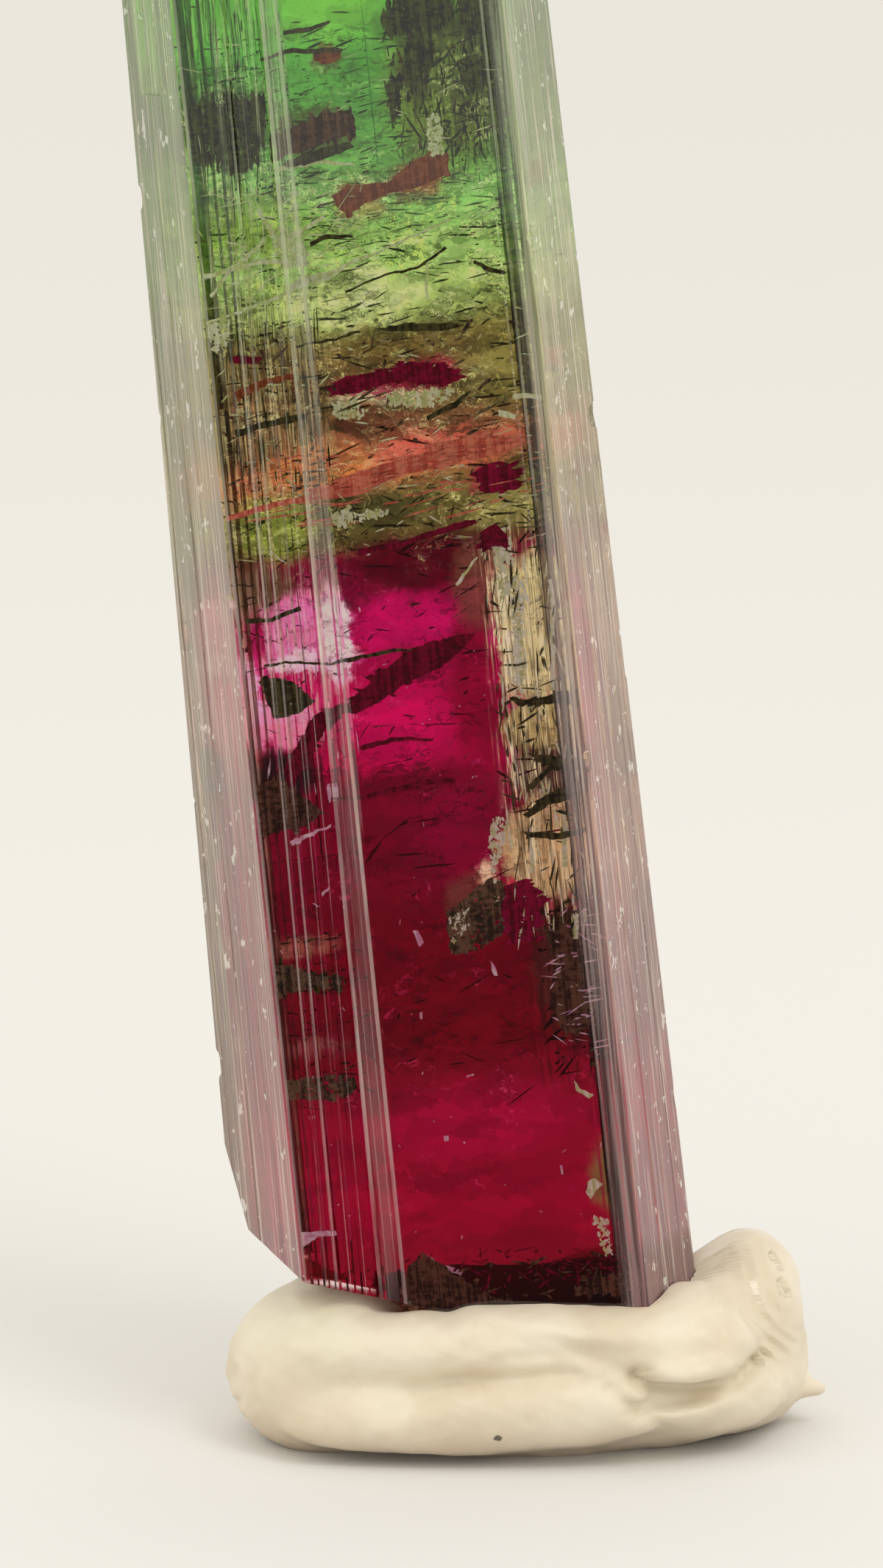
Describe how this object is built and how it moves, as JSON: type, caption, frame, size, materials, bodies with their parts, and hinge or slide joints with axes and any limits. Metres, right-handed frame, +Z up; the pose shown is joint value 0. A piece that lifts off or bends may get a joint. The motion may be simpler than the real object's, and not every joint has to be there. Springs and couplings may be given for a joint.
{
  "type": "elbaite crystal specimen",
  "caption": "Striated, slightly tapering tourmaline prism, green above and ruby red below, standing in a pressed lump of cream mineral putty with a flat underside.",
  "frame": {"origin": "middle of the putty's flat underside", "axes": "+Z up, along the crystal to within its lean; the crystal's broad front face looks towards -Y; +X to the viewer's right, away from the side the crystal leans to"},
  "size_m": [0.0307, 0.016, 0.0749],
  "materials": {
    "crystal": "clear and glassy, with fine grooves along its length",
    "putty": "soft satin, with finger marks"
  },
  "bodies": {
    "root": {"crystal": "crystal", "putty": "putty"}
  },
  "joints": []
}
